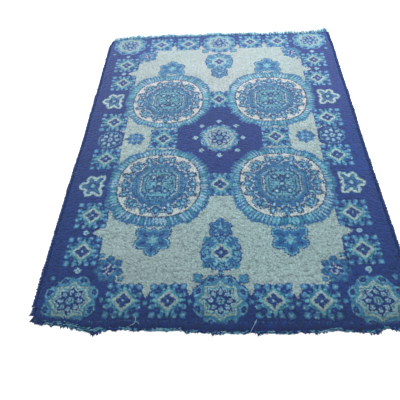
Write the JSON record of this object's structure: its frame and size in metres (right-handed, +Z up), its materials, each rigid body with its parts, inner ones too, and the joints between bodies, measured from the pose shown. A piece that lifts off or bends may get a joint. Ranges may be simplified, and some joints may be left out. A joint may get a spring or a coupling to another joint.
{
  "type": "turkish rug",
  "caption": "Flat hand-knotted pile rug with a blue border, a pale field and four round medallions, overcast side edges and short frayed ends.",
  "frame": {"origin": "middle of the rug's box on the floor, under the pile cloth", "axes": "+Z up out of the pile, +Y along the length towards the back frayed end, +X across the width towards the right overcast edge"},
  "size_m": [1.7, 2.4344, 0.0113],
  "materials": {
    "pile": "wool pile in blues, teal and cream",
    "overcast_yarn": "matt navy wool yarn",
    "frayed_yarn": "matt blue wool yarn"
  },
  "bodies": {
    "root": {"rug_pile": "pile", "side_edge_left": "overcast_yarn", "side_edge_right": "overcast_yarn", "frayed_end_front": "frayed_yarn", "frayed_end_back": "frayed_yarn"}
  },
  "joints": []
}
